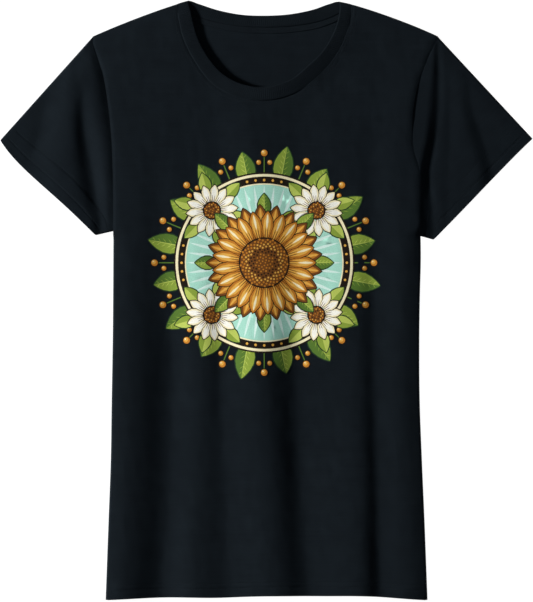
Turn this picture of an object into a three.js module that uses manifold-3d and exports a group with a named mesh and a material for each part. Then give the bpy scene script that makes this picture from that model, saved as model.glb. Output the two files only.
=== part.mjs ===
// A woman's short-sleeved T-shirt, laid out on its back: front panel, back panel, two set-in
// sleeves, the ribbed neckband and the tape over the back neck seam.
// Millimetres. +Y runs from the hem to the neck, +Z is up from the surface it lies on,
// and the origin is under the middle of the shirt, on that surface.
// The panels are real sheets of cloth: the torso and both sleeves are hollow, and open at the
// hem, the neck, the armholes and the cuffs.
import * as THREE from "three";
import { mergeVertices } from "three/addons/utils/BufferGeometryUtils.js";
import Module from "manifold-3d";

const wasm = await Module();
wasm.setup();

// ---------------------------------------------------------------- driving dimensions
const CLOTH = 1.0; // thickness of the jersey panels, with the air that a soft knit holds
const RIB = 1.8; // the neckband is rib folded double
const TAPE = 0.8; // thickness of the neck tape
const SEAM_GAP = 0.3; // clear gap between pieces that are sewn to each other
const SIDE_SEAM_Z = 3; // height of the side and shoulder seams above the surface
const EDGE_ROUND = 10; // how far in from a side edge the cloth takes to turn over
const SLEEVE_FOLD_Z = 3.2; // height of the outer fold of a sleeve

const HEM_MID_Y = -320.5; // the hem is a little higher in the middle
const HEM_DROP = 4.5; // than at its two corners
const HEM_HALF = 174; // half the width at the hem
const WAIST_HALF = 165.6; // half the width from the waist up to the underarm
const WAIST_Y = -86;
const UNDERARM_Y = 66; // from here up a sleeve is joined to the body
const ARMHOLE_RISE = 50; // over which the side edge gives way to the armhole seam
const CHEST_LOFT = 8; // how high the front lies above the side seams at the chest
const CHEST_FROM = 120; // below here the loft builds up towards the hem's
const BUILD_UP = 380; // over this length
const YOKE_FROM = 150; // from here up the loft falls off towards the shoulders
const YOKE_LENGTH = 150;
const HEM_LOFT = 13; // how high the front lies above the side seams at the hem
const SHOULDER_LOFT = 4.5; // and along the shoulders
const LEAST_LOFT = 2; // at the bottom of the deepest fold

// Plan points, wearer's right side first (it is at -X), then the left side.
const UNDERARM = [[-166, 75.4], [167, 70]];
const SHOULDER_TIP = [[-188.2, 285.9], [184, 285.9]];
const NECK_POINT = [[-97.2, 321.4], [92.9, 320.9]]; // where a shoulder seam meets the neckband
const CUFF_TOP = [[-287.4, 174.3], [287.4, 175.2]]; // outer corner of a cuff
const CUFF_LOW = [[-185, 71], [180.8, 66.2]]; // inner corner of a cuff
const ARMHOLE = [
  [[-176.8, 252], [-168.4, 183], [-166, 120]],
  [[179.6, 272.9], [165.5, 238.2], [158.2, 200.2], [159.4, 165.5], [166.4, 141.6], [167.4, 105]],
];

// Vertical folds of the body. Each runs down to the hem along a line through three points, and has
// a gentle left-facing bank, a steeper right-facing one, and a depth at the hem.
const BODY_FOLDS = [
  { line: [[-117, 60], [-123, -130], [-128, -325]], depth: 5.6, steep: 15, gentle: 24, top: 110, full: -190 },
  { line: [[-54, 0], [-55, -180], [-57, -325]], depth: 3.6, steep: 14, gentle: 22, top: 40, full: -220 },
  { line: [[14, 20], [29, -187], [41, -325]], depth: 6.2, steep: 17, gentle: 28, top: 30, full: -200 },
  { line: [[104, 90], [119, -192], [122, -325]], depth: 6, steep: 13, gentle: 24, top: 120, full: -160 },
];

// Folds of the sleeves, from near the shoulder down to the cuff.
const SLEEVE_FOLDS = [
  [
    { line: [[-186, 272], [-174, 200], [-169, 110]], depth: 3.6, half: 11 },
    { line: [[-207, 232], [-198, 160], [-186, 84]], depth: 3.8, half: 9 },
  ],
  [
    { line: [[186, 280], [181, 190], [172, 78]], depth: 4, half: 9 },
    { line: [[210, 240], [226, 178], [241, 138]], depth: 3.2, half: 9 },
  ],
];
const SLEEVE_LOFT = 13; // height of a sleeve's top layer between its folds
const BLEND = 9; // how far a sleeve takes to leave the height of the body at the armhole
const SLEEVE_WALL = 1.6; // thickness left in the folded edges of a sleeve
const ARMHOLE_GAP = 0.45; // the seam gap, measured along X where the armhole slants

// The neckband, as pairs of plan points going round: on its sewn edge, then on its free edge.
const BAND_FRONT = [
  [[-95.4, 309], [-82.3, 314]],
  [[-90.6, 287], [-75.4, 287]],
  [[-79.6, 263.5], [-63.6, 264.4]],
  [[-58.5, 235.5], [-46.4, 245]],
  [[-31.5, 221.2], [-25.6, 234.4]],
  [[0, 217.6], [0, 231.4]],
  [[31, 225.2], [27.5, 240.4]],
  [[56.5, 243.6], [47, 256.6]],
  [[74.4, 264], [61.4, 271]],
  [[86.6, 288.4], [72.4, 289.6]],
  [[91.4, 308], [78.6, 309]],
];
const BAND_BACK = [
  [[80, 312.6], [68, 321]],
  [[58, 303.6], [50.4, 314.4]],
  [[28, 298.4], [25, 309.4]],
  [[0, 297.2], [0, 308]],
  [[-30, 298.6], [-27, 309.6]],
  [[-58, 303.8], [-52.6, 314.6]],
  [[-84, 312.4], [-74, 321.4]],
];
const BAND_TIP = [[-84.4, 324.1], [78.4, 323.6]]; // top of each side fold of the band
const BAND_BACK_Z = 1.4; // mid-height of the band where it lies along the back
const BAND_RISE = 1.2; // how far the front of the band lifts towards its free edge
const BAND_STEPS = 80;

const TAPE_WIDTH = 6.6;
const TAPE_HALF = 76; // the tape ends short of the shoulder seams
const TAPE_SET_BACK = 0.5; // and a little below the neckband's seam
const TAPE_STEPS = 22;

// ---------------------------------------------------------------- small maths
const clamp01 = (t) => Math.min(Math.max(t, 0), 1);
const smooth = (t) => clamp01(t) ** 2 * (3 - 2 * clamp01(t));
const mix = (a, b, t) => a + (b - a) * t;

// A quarter-round rise from 0 at an edge to 1 at EDGE_ROUND from it.
const roundEdge = (d) => Math.sqrt(1 - (1 - clamp01(d / EDGE_ROUND)) ** 2);

// x of a fold line through three points, at height y.
function lineX([[x0, y0], [x1, y1], [x2, y2]], y) {
  const a = ((y - y1) * (y - y2)) / ((y0 - y1) * (y0 - y2));
  const b = ((y - y0) * (y - y2)) / ((y1 - y0) * (y1 - y2));
  const c = ((y - y0) * (y - y1)) / ((y2 - y0) * (y2 - y1));
  return a * x0 + b * x1 + c * x2;
}

const curve2 = (points) => new THREE.SplineCurve(points.map((p) => new THREE.Vector2(...p)));

// Distance from (x, y) to the line through a and b, positive on the left of a to b.
function leftOf([ax, ay], [bx, by], x, y) {
  return ((bx - ax) * (y - ay) - (by - ay) * (x - ax)) / Math.hypot(bx - ax, by - ay);
}

// ---------------------------------------------------------------- heights of the cloth
const hemY = (x) => HEM_MID_Y - HEM_DROP * Math.abs(x / HEM_HALF) ** 2.2;

function sideHalf(y) {
  const down = clamp01((WAIST_Y - y) / (WAIST_Y - HEM_MID_Y));
  return WAIST_HALF + (HEM_HALF - WAIST_HALF) * down ** 1.3;
}

// Distance in from the nearest side edge. Above the underarm there is none, as the sleeve carries on.
function fromSide(x, y) {
  const wellInside = 70 * smooth((y - UNDERARM_Y) / ARMHOLE_RISE);
  return sideHalf(y) + wellInside - Math.abs(x);
}

// Distance in from the nearest shoulder seam.
const fromShoulder = (x, y) =>
  x < 0 ? -leftOf(SHOULDER_TIP[0], NECK_POINT[0], x, y) : -leftOf(NECK_POINT[1], SHOULDER_TIP[1], x, y);

const fromEdge = (x, y) => Math.min(fromSide(x, y), fromShoulder(x, y));

function loft(y) {
  const low = mix(CHEST_LOFT, HEM_LOFT, smooth((CHEST_FROM - y) / BUILD_UP));
  return mix(low, SHOULDER_LOFT, smooth((y - YOKE_FROM) / YOKE_LENGTH));
}

function bodyFolds(x, y) {
  return BODY_FOLDS.reduce((sum, f) => {
    const s = x - lineX(f.line, y);
    const bank = Math.exp(-(Math.abs(s / (s < 0 ? f.steep : f.gentle)) ** 1.5));
    return sum + f.depth * bank * smooth((f.top - y) / (f.top - f.full));
  }, 0);
}

// Underside of the front panel.
const frontUnder = (x, y) =>
  SIDE_SEAM_Z + SEAM_GAP / 2 + Math.max(loft(y) - bodyFolds(x, y), LEAST_LOFT) * roundEdge(fromEdge(x, y));
const frontTop = (x, y) => frontUnder(x, y) + CLOTH;

// Underside of the back panel, flat on the surface but for its turned-up edges.
const backUnder = (x, y) =>
  (SIDE_SEAM_Z - SEAM_GAP / 2 - CLOTH) * (1 - roundEdge(fromEdge(x, y)));
const backTop = (x, y) => backUnder(x, y) + CLOTH;

// Top of a sleeve's upper layer: it leaves the body's height at the armhole.
function sleeveTop(side, armhole, x, y) {
  const sign = side ? 1 : -1;
  const fromFold = leftOf(SHOULDER_TIP[side], CUFF_TOP[side], x, y) * -sign;
  const fromUnder = leftOf(UNDERARM[side], CUFF_LOW[side], x, y) * sign;
  const fromBody = sign * x - sign * armhole(y);
  const dip = SLEEVE_FOLDS[side].reduce((sum, f) => {
    const [[, highEnd], , [, lowEnd]] = f.line;
    const ends = smooth((highEnd + 20 - y) / 60) * smooth((y - lowEnd + 40) / 30);
    return sum + f.depth * ends * Math.exp(-(((x - lineX(f.line, y)) / f.half) ** 2));
  }, 0);
  const own = mix(SLEEVE_FOLD_Z, SLEEVE_LOFT, Math.min(roundEdge(fromFold), roundEdge(fromUnder + 2)));
  const free = Math.max(own - dip, SLEEVE_FOLD_Z);
  const shoulder = Math.max(frontTop(x, y), SLEEVE_FOLD_Z);
  return mix(shoulder, free, smooth(fromBody / BLEND));
}

// ---------------------------------------------------------------- solids
function solidOf(geometry) {
  const bare = geometry.index ? geometry.toNonIndexed() : geometry.clone();
  bare.deleteAttribute("normal");
  bare.deleteAttribute("uv");
  const merged = mergeVertices(bare, 1e-4);
  return new wasm.Manifold(
    new wasm.Mesh({
      numProp: 3,
      vertProperties: new Float32Array(merged.getAttribute("position").array),
      triVerts: new Uint32Array(merged.index.array),
    }),
  );
}

function indexed(positions, triangles) {
  return new THREE.BufferGeometry()
    .setAttribute("position", new THREE.Float32BufferAttribute(positions, 3))
    .setIndex(triangles);
}

// A closed slab over a grid: columns[j](y) gives the x of column j, and bottom and top its two heights.
function slab(columns, rows, bottom, top) {
  const n = columns.length;
  const positions = [];
  [bottom, top].forEach((height) =>
    rows.forEach((y) =>
      columns.forEach((column) => {
        const x = column(y);
        positions.push(x, y, height(x, y));
      }),
    ),
  );
  const at = (layer, i, j) => layer * rows.length * n + i * n + j;
  const triangles = [];
  const quad = (a, b, c, d) => triangles.push(a, b, c, a, c, d);
  for (let i = 0; i + 1 < rows.length; i++)
    for (let j = 0; j + 1 < n; j++) {
      quad(at(1, i, j), at(1, i, j + 1), at(1, i + 1, j + 1), at(1, i + 1, j));
      quad(at(0, i, j), at(0, i + 1, j), at(0, i + 1, j + 1), at(0, i, j + 1));
    }
  const last = rows.length - 1;
  for (let j = 0; j + 1 < n; j++) {
    quad(at(0, 0, j), at(0, 0, j + 1), at(1, 0, j + 1), at(1, 0, j));
    quad(at(0, last, j + 1), at(0, last, j), at(1, last, j), at(1, last, j + 1));
  }
  for (let i = 0; i < last; i++) {
    quad(at(0, i + 1, 0), at(0, i, 0), at(1, i, 0), at(1, i + 1, 0));
    quad(at(0, i, n - 1), at(0, i + 1, n - 1), at(1, i + 1, n - 1), at(1, i, n - 1));
  }
  return solidOf(indexed(positions, triangles));
}

// A straight prism over a plan outline, taller than the shirt, to trim slabs with.
function prism(points) {
  const shape = new THREE.Shape(points.map(([x, y]) => new THREE.Vector2(x, y)));
  const prismBody = new THREE.ExtrudeGeometry(shape, { depth: 80, bevelEnabled: false, steps: 1 });
  return solidOf(prismBody.translate(0, 0, -20));
}

const spread = (from, to, count) =>
  Array.from({ length: count + 1 }, (_, i) => mix(from, to, i / count));

function meshOf(name, solid, material) {
  const { vertProperties, triVerts } = solid.getMesh();
  const mesh = new THREE.Mesh(indexed(vertProperties, Array.from(triVerts)), material);
  mesh.geometry.computeVertexNormals();
  mesh.name = name;
  return mesh;
}

// ---------------------------------------------------------------- plan outlines
function armholePoints(side, count) {
  return curve2([SHOULDER_TIP[side], ...ARMHOLE[side], UNDERARM[side]])
    .getPoints(count)
    .map((p) => [p.x, p.y]);
}

// x of an armhole at a given y, read along its own points.
function armholeAt(side) {
  const points = armholePoints(side, 30);
  return (y) => {
    const k = points.findIndex((p) => p[1] <= y);
    if (k <= 0) return k < 0 ? points.at(-1)[0] : points[0][0];
    const [[xa, ya], [xb, yb]] = [points[k - 1], points[k]];
    return mix(xa, xb, (ya - y) / (ya - yb));
  };
}

const sidePoints = (sign, ys) => ys.map((y) => [sign * sideHalf(y), y]);

// Body outline: hem, left side, left armhole, shoulder, neckline, shoulder, right armhole, right side.
function bodyOutline(neckline) {
  const ys = [-270, -200, -140, WAIST_Y, -10];
  const hem = spread(-HEM_HALF, HEM_HALF, 16).map((x) => [x, hemY(x)]);
  return [
    ...hem,
    ...sidePoints(1, ys),
    ...armholePoints(1, 16).reverse(),
    NECK_POINT[1],
    ...neckline,
    NECK_POINT[0],
    ...armholePoints(0, 12),
    ...sidePoints(-1, ys).reverse(),
  ];
}

// Pairs of points round the neckband, on its sewn and free edges, in space. It is a short tube of rib,
// flattened: the front part above, the back part below, and a fold at each side.
function bandRing() {
  const lift = (z) => (p) => new THREE.Vector3(...p, z);
  const front = BAND_FRONT.map(([sewn, free]) => {
    const z = frontTop(...sewn) - CLOTH / 2;
    return [lift(z)(sewn), lift(z + BAND_RISE)(free)];
  });
  const back = BAND_BACK.map(([sewn, free]) => {
    const z = Math.max(BAND_BACK_Z, backTop(...sewn) - CLOTH / 2);
    return [sewn, free].map(lift(z));
  });
  const tip = (side) => [NECK_POINT[side], BAND_TIP[side]].map(lift(SIDE_SEAM_Z));
  const pairs = [...front, tip(1), ...back, tip(0)];
  const rim = (half) => new THREE.CatmullRomCurve3(pairs.map((pair) => pair[half]), true, "centripetal");
  const stations = spread(0, 1, BAND_STEPS).slice(0, -1);
  const [sewn, free] = [rim(0), rim(1)].map((curve) => stations.map((t) => curve.getPoint(t)));
  const count = (n) => Math.round((n / pairs.length) * BAND_STEPS);
  return { sewn, free, frontEnd: count(front.length - 0.5), backStart: count(front.length + 0.5) };
}
const ring = bandRing();

// A panel's neckline, on the sewn edge of the neckband.
const neckline = (from, to) => ring.sewn.slice(from, to).map((s) => [s.x, s.y]);
const frontNeckline = () => neckline(0, ring.frontEnd).reverse();
const backNeckline = () => neckline(ring.backStart, BAND_STEPS - 1);

// The neckband's solid, grown by a margin all round.
function bandSolid(margin) {
  const { sewn, free } = ring;
  const positions = [];
  sewn.forEach((s, i) => {
    const f = free[i];
    const next = sewn[(i + 1) % BAND_STEPS].clone().add(free[(i + 1) % BAND_STEPS]);
    const before = sewn.at(i - 1).clone().add(free.at(i - 1));
    const across = f.clone().sub(s).normalize();
    const normal = next.sub(before).normalize().cross(across).normalize();
    [[s, 1, -1], [f, 1, 1], [f, -1, 1], [s, -1, -1]].forEach(([p, up, out]) => {
      const corner = p.clone().addScaledVector(normal, up * (RIB / 2 + margin));
      positions.push(...corner.addScaledVector(across, out * margin).toArray());
    });
  });
  const triangles = [];
  for (let i = 0; i < BAND_STEPS; i++)
    for (let k = 0; k < 4; k++) {
      const [a, b] = [i * 4 + k, i * 4 + ((k + 1) % 4)];
      const [c, d] = [a, b].map((v) => (v + 4) % (BAND_STEPS * 4));
      triangles.push(a, c, b, b, c, d);
    }
  return solidOf(indexed(positions, triangles));
}
const bandClearance = bandSolid(SEAM_GAP);

// ---------------------------------------------------------------- the pieces
const EDGE_STEPS = [-4, 0, 1.2, 3.4, 6.6]; // column offsets in from a side edge
const EDGE_END = 11; // where the evenly spaced columns start
const SHOULDER_SPREAD = 32; // how much wider the columns run at the shoulders than at the waist
const PAST_EDGE = 7; // how far the untrimmed grids run past the outline

function bodyColumns(inner) {
  const half = (y, inset) => sideHalf(y) - inset + SHOULDER_SPREAD * smooth((y - UNDERARM_Y) / 90);
  const edge = (sign) => EDGE_STEPS.map((d) => (y) => sign * half(y, d));
  const middle = spread(-1, 1, inner).map((s) => (y) => s * half(y, EDGE_END));
  return [...edge(-1), ...middle, ...edge(1).reverse()];
}

function frontPanel() {
  const rows = [...spread(HEM_MID_Y - HEM_DROP - PAST_EDGE, 76, 17), ...spread(100, 330, 12)];
  const cloth = slab(bodyColumns(30), rows, frontUnder, frontTop);
  return cloth.intersect(prism(bodyOutline(frontNeckline()))).subtract(bandClearance);
}

function backPanel() {
  const low = [HEM_MID_Y - HEM_DROP - PAST_EDGE, -240, -160, -80, 0];
  const rows = [...low, UNDERARM_Y, 90, 130, 200, 240, 270, 290, 300, 310, 320, 330];
  const cloth = slab(bodyColumns(8), rows, backUnder, backTop);
  return cloth.intersect(prism(bodyOutline(backNeckline()))).subtract(bandClearance);
}

function sleeve(side) {
  const sign = side ? 1 : -1;
  const armhole = armholeAt(side);
  const top = (x, y) => sleeveTop(side, armhole, x, y);
  const seam = armholePoints(side, 14).map(([x, y]) => [x + sign * ARMHOLE_GAP, y]);
  const outline = [...seam, CUFF_LOW[side], CUFF_TOP[side]];
  const columns = spread(150, CUFF_TOP[1][0] + 5, 17).map((x) => () => sign * x);
  const order = side ? columns : columns.reverse();
  const rows = spread(60, SHOULDER_TIP[side][1] + 6, 17);
  const outer = slab(order, rows, () => 0, top).intersect(prism(side ? outline.reverse() : outline));

  // The hollow: clear of the two folded edges, and out through the cuff and the armhole.
  const shifted = ([x, y], outward, up) => [x + sign * outward, y + up];
  const hollow = [
    shifted(SHOULDER_TIP[side], 0, -2 * SLEEVE_WALL),
    shifted(SHOULDER_TIP[side], -40, -10),
    shifted(UNDERARM[side], -40, SLEEVE_WALL),
    shifted(UNDERARM[side], 0, SLEEVE_WALL),
    shifted(CUFF_LOW[side], 0, SLEEVE_WALL),
    shifted(CUFF_LOW[side], 6, -6),
    shifted(CUFF_TOP[side], 6, -9 - SLEEVE_WALL),
  ];
  const roof = (x, y) => Math.max(top(x, y), SLEEVE_FOLD_Z) - CLOTH;
  const inner = slab(order, rows, () => CLOTH, roof).intersect(prism(side ? hollow.reverse() : hollow));
  return outer.subtract(inner);
}

function neckTape() {
  const seam = ring.sewn.slice(ring.backStart).reverse();
  const seamY = (x) => {
    const k = seam.findIndex((p) => p.x >= x);
    return mix(seam[k - 1].y, seam[k].y, (x - seam[k - 1].x) / (seam[k].x - seam[k - 1].x));
  };
  const under = (x, y) => backTop(x, y) + SEAM_GAP;
  const xs = spread(-TAPE_HALF, TAPE_HALF, TAPE_STEPS);
  const lower = xs.map((x) => [x, seamY(x) - TAPE_WIDTH]);
  const upper = xs.map((x) => [x, seamY(x) - SEAM_GAP - TAPE_SET_BACK]);
  const columns = spread(-TAPE_HALF - 2, TAPE_HALF + 2, 12).map((x) => () => x);
  const cloth = slab(columns, spread(284, 314, 5), under, (x, y) => under(x, y) + TAPE);
  return cloth.intersect(prism([...lower, ...upper.reverse()])).subtract(bandClearance);
}

// ---------------------------------------------------------------- the shirt
const cotton = (name, color, roughness) =>
  new THREE.MeshStandardMaterial({ name, color, roughness, metalness: 0 });
const jersey = cotton("jersey", 0x171c20, 0.92);
const rib = cotton("rib", 0x15191d, 0.95);
const tape = cotton("tape", 0x131719, 0.9);

const shirt = new THREE.Group();
shirt.name = "t_shirt";
shirt.add(
  meshOf("front_panel", frontPanel(), jersey),
  meshOf("back_panel", backPanel(), jersey),
  meshOf("right_sleeve", sleeve(0), jersey),
  meshOf("left_sleeve", sleeve(1), jersey),
  meshOf("neckband", bandSolid(0), rib),
  meshOf("neck_tape", neckTape(), tape),
);

export default shirt;
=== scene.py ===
"""A women's black T-shirt with a flower print, laid flat on its back, seen from straight above.

Lengths are millimetres until a mesh is made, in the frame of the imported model: +Y runs from the hem to the
neck, and +Z up from the surface below the shirt. Side 0 is the wearer's right, at -X, and side 1 the left.
"""

from math import copysign, cos, hypot, pi, radians, sin, sqrt

import bpy
import numpy as np
from mathutils.geometry import delaunay_2d_cdt
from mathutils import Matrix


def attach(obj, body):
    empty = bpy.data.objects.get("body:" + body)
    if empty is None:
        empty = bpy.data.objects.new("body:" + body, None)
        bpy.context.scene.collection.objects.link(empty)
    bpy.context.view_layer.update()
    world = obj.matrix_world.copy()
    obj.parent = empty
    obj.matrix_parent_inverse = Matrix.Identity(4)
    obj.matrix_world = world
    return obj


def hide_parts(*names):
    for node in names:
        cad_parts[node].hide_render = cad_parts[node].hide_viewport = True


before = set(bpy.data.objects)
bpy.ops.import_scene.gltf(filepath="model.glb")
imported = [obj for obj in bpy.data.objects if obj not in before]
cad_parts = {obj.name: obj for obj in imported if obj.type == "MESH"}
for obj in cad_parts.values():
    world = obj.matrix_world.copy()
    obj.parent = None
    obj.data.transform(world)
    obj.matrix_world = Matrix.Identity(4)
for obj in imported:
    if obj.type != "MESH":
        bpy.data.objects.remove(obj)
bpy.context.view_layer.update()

MM = 0.001
OUT = (-1, 1)  # the way out along X on each side

# ---- the cut, as the solids have it
SIDE_SEAM_Z = 3.0  # height of the side and shoulder seams
BACK_Z = 0.15  # the back's outer face, away from its edges
EDGE_ROUND = 1.8  # the cloth turns over this far in from a folded edge
EDGE_SWELL, SWELL_SHARE = 20.0, 0.28  # then it swells: how far, for what share of its height
HEM_MID_Y, HEM_DROP, HEM_CURL = -319.8, 4.7, 2.2  # the hem's middle, and how far and how late its ends drop
HEM_WAVES = [(1.7, -54.0, 36.0), (-1.4, 106.0, 38.0)]  # how far it dips, where, and over what reach
PANEL_SPAN = 1.15  # from the side seam's height to the front's outer face where nothing lifts it
# Pairs like YOKE are for ease(): where a change starts, and over how far it goes.
CHEST_LOFT, SHOULDER_LOFT, YOKE = 8.0, 4.5, (150.0, 150.0)  # how far the plain front is lifted
ARMHOLE_CLEAR, ARMHOLE_RISE = 70.0, (66.0, 50.0)  # above the underarm a side has no fold: it moves out

# Plan points, one for each side.
UNDERARM = [(-166, 75.4), (167, 70)]
SHOULDER_TIP = [(-188.6, 286.2), (186, 286.4)]
NECK_POINT = [(-97.2, 321.4), (92.9, 320.9)]
CUFF_TOP = [(-288.6, 174.5), (288.4, 176.1)]
CUFF_LOW = [(-185, 71), (180.8, 66.2)]
ARMHOLE = [
    [(-188.5, 278), (-184.6, 267.5), (-180.6, 256.6), (-176.4, 243), (-168.4, 183), (-166, 120)],
    [(179.6, 272.9), (165.5, 238.2), (158.2, 200.2), (159.4, 165.5), (166.4, 141.6), (167.4, 105)],
]
# Distance of each side of the body from the middle, and y, from the underarm to the hem.
SIDES = [
    [(166.1, 76), (166.5, 0), (166.9, -43), (168, -108), (169, -173), (171.4, -238), (174.6, -325)],
    [(167.3, 71), (167.5, 44), (166.4, 0), (165.9, -43),
     (166.3, -108), (168.7, -173), (171.5, -238), (174.8, -325)],
]
SHOULDER_BULGE = [1.6, 2.2]  # how far a shoulder line bows out of the straight
CUFF_BULGE = [3.7, -0.7]

# Crests and troughs of the front, from -X to +X, each from the chest down to the hem: x, y and lift.
FOLD_LINES = [
    [(-150, 215, 8), (-152, 150, 8), (-156, 50, 8.6),
     (-157, -92, 9.2), (-158, -190, 9.3), (-161, -310, 9.2)],
    [(-117, 215, 8), (-117, 150, 7.5), (-111, 50, 5.2),
     (-103, -60, 1.2), (-105, -150, 0.5), (-113, -310, 0.3)],
    [(-80, 215, 7.4), (-76, 150, 7.4), (-72, 50, 7.5), (-68, -92, 7.2), (-72, -190, 6.2), (-76, -310, 7.3)],
    [(-62, 215, 7.1), (-55, 150, 7.1), (-52, 50, 6.8), (-50, -92, 4.7), (-46, -190, 4), (-42, -310, 4.9)],
    [(-14, 215, 9.9), (-13, 150, 9.9), (-12, 50, 10), (-7, -92, 11.6), (0, -190, 10.8), (8, -310, 13.2)],
    [(36, 215, 7.5), (36, 150, 7.4), (35, 50, 6.4), (35, -92, 3.9), (38, -190, 2.8), (46, -310, 6.2)],
    [(92, 215, 8), (92, 150, 8), (94, 50, 8), (98, -92, 9.2), (101, -200, 10.7), (99, -310, 13)],
    [(114, 215, 7.5), (114, 150, 7.2), (116, 50, 6), (118, -92, 6), (121, -190, 6.2), (124, -310, 7.5)],
    [(145, 215, 8.5), (146, 150, 9), (149, 50, 9.6), (148, -92, 9), (150, -190, 9), (155, -310, 10.6)],
]
FALL_SKEW, RISE_SKEW = 1.3, 0.88  # cloth leaves a crest slowly, and leaves a trough fast
FOLDS_FADE = (190.0, 60.0)  # the folds give way to the plain chest
# Crests and troughs of each sleeve's upper layer: x, y and height above the surface.
SLEEVE_LINES = [
    [
        [(-228, 262, 6.5), (-237, 239, 6.5), (-243, 207, 4.2),
         (-250, 174, 4), (-262, 142, 4), (-262, 90, 4)],
        [(-208, 262, 8.2), (-207, 239, 9.4), (-212, 207, 10.4), (-214, 174, 10.6),
         (-213, 142, 10.5), (-207, 115, 9.6), (-194, 88, 8.2)],
        [(-200, 262, 8.4), (-199, 239, 9.8), (-199, 207, 7.8), (-196, 174, 6),
         (-190, 142, 5.4), (-185.5, 113, 4.9), (-180, 88, 5.4)],
        [(-193, 272, 7.4), (-191, 250, 9.4), (-185, 207, 9.9),
         (-178, 174, 9.8), (-174, 142, 10.1), (-170, 80, 7.5)],
        [(-184, 272, 5), (-175, 250, 5.9), (-168, 207, 6.3),
         (-165, 174, 7.4), (-164, 142, 8.3), (-163, 80, 7.7)],
    ],
    [
        [(181, 275, 6), (178, 255, 7.9), (172, 207, 10.2), (168, 174, 11.3),
         (163, 148, 11.9), (160, 125, 12.3), (160, 70, 12.1)],
        [(186, 275, 5), (187, 255, 5.7), (187, 207, 6.6), (183, 174, 6.9),
         (176.5, 142, 7.2), (176.5, 125, 7.5), (180.5, 98, 7.9), (182, 70, 7.9)],
        [(191, 275, 5.3), (193, 255, 6.3), (193, 207, 7), (189, 174, 7.3),
         (184, 142, 7.8), (184, 120, 8.2), (187, 98, 8.4), (189, 70, 8.4)],
        [(196, 275, 5), (198, 255, 6.2), (198, 207, 6.7), (200, 174, 6.6), (199, 142, 7), (198, 70, 8)],
        [(200, 275, 4.8), (207, 245, 6.6), (208, 207, 7), (216, 174, 7), (225, 142, 7.2), (230, 100, 7)],
        [(212, 275, 4.6), (220, 240, 6.1), (225, 207, 4.7),
         (237, 174, 3.5), (246, 142, 3.2), (254, 100, 3.2)],
        [(240, 275, 4.6), (262, 230, 4.4), (280, 205, 3.8), (288, 174, 3), (288, 142, 3), (288, 100, 3)],
    ],
]
SLEEVE_FOLD_Z, SLEEVE_LOW_Z = 1.7, 0.2  # a sleeve's folded edges, and its lower layer's face
SLEEVE_BLEND = 7.0  # a sleeve leaves the body's height this far from the armhole
# How far the body drops towards each armhole: low down, high up, where it changes, and its reach.
ARMHOLE_FALL = [(0.6, 0.9, 210.0, 11.0), (1.4, 1.0, 120.0, 9.0)]
FALL_CHANGE = 50.0
SHOULDER_FALL, SHOULDER_REACH = 3.3, 60.0

# The neckband as pairs of plan points, on its sewn edge and on its free edge.
BAND_FRONT = [
    ((-95.4, 309), (-82.3, 314)), ((-90.6, 287), (-75.4, 287)), ((-79.6, 263.5), (-63.6, 264.4)),
    ((-58.5, 235.5), (-46.4, 245)), ((-31.5, 221.2), (-25.6, 234.4)), ((0, 217.6), (0, 231.4)),
    ((31, 225.2), (27.5, 240.4)), ((56.5, 243.6), (47, 256.6)), ((74.4, 264), (61.4, 271)),
    ((86.6, 288.4), (72.4, 289.6)), ((91.4, 308), (78.6, 309)),
]
BAND_BACK = [
    ((80, 312.6), (68, 321.8)), ((58, 303.6), (50.4, 315.7)), ((28, 298.4), (25, 310.7)),
    ((0, 297.2), (0, 309.2)), ((-30, 298.6), (-27, 310.2)), ((-58, 303.8), (-52.6, 315.1)),
    ((-84, 312.4), (-74, 322.0)),
]
BAND_TIP = [(-84.4, 325.0), (78.4, 323.8)]
BAND_BACK_Z = 1.4
BAND_TURN = (-60, 120)  # from side 0 to side 1, along X
BAND_SEAT = (0.5, -0.5, 0.8)  # how deep it is sewn: side 0, then side 1 low and high
SEAT_CHANGE = (235, 50)
BAND_RISE = (-0.6, 2.3)  # from there to its free edge, on each side
RISE_LOSS, LOSS_CHANGE = 0.3, (250, 40)  # the share that side 1 loses high up
NECK_RIDGE, RIDGE_REACH = 0.7, 8.0  # the front stands up along the band on side 1
RIDGE_X, RIDGE_Y = (10, 40), (310, -40)
BACK_LIFT, LIFT_X, LIFT_REACH = 2.2, -50, 70  # the back rises inside the neck
LIFT_BOTTOM, LIFT_TOP = (150, 40), (318, -40)

# ---- the make
JERSEY = 0.7  # thickness of the cloth
HEM_TURN, TURN_STEP = 0.6, 1.2  # what a turned hem adds, over what width
HEM_LIFT, HEM_STEP = 0.3, 1.6  # how proud it stands, over what width
HEM_DEPTH, HEM_ROWS = 16.0, [9.0, 14.5]  # with two rows of stitches
CUFF_DEPTH, CUFF_ROWS = 23.0, [9.5, 22.5]
CUFF_FORM = [1.0, 0.5]  # how plainly each cuff's hem shows
CUFF_WAVER = [0.2, 0.0]  # as a share, how much deeper it is in its middle
CUFF_ZONE, ZONE_SHARE = CUFF_DEPTH + 3, 0.8  # where a sleeve's mesh follows its cuff
NEEDLE_GROOVE, GROOVE_HALF = 0.32, 0.9
PUCKER, PUCKER_RUNS = 0.5, (2.9, 7.3)  # how uneven the grooves are along a hem
NECK_ROWS = [1.6, 4.6]  # outside the neckband's seam
NECK_GROOVE, NECK_GROOVE_HALF = 0.6 * NEEDLE_GROOVE, 0.8
# How far seams pull in: at each armhole, at the neckband and in the back, and their reach.
ARMHOLE_DIP, NECK_DIP, BACK_DIP, SEAM_REACH = [0.5, 0.2], 0.35, 0.5, 1.7
SEED = 7
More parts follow.
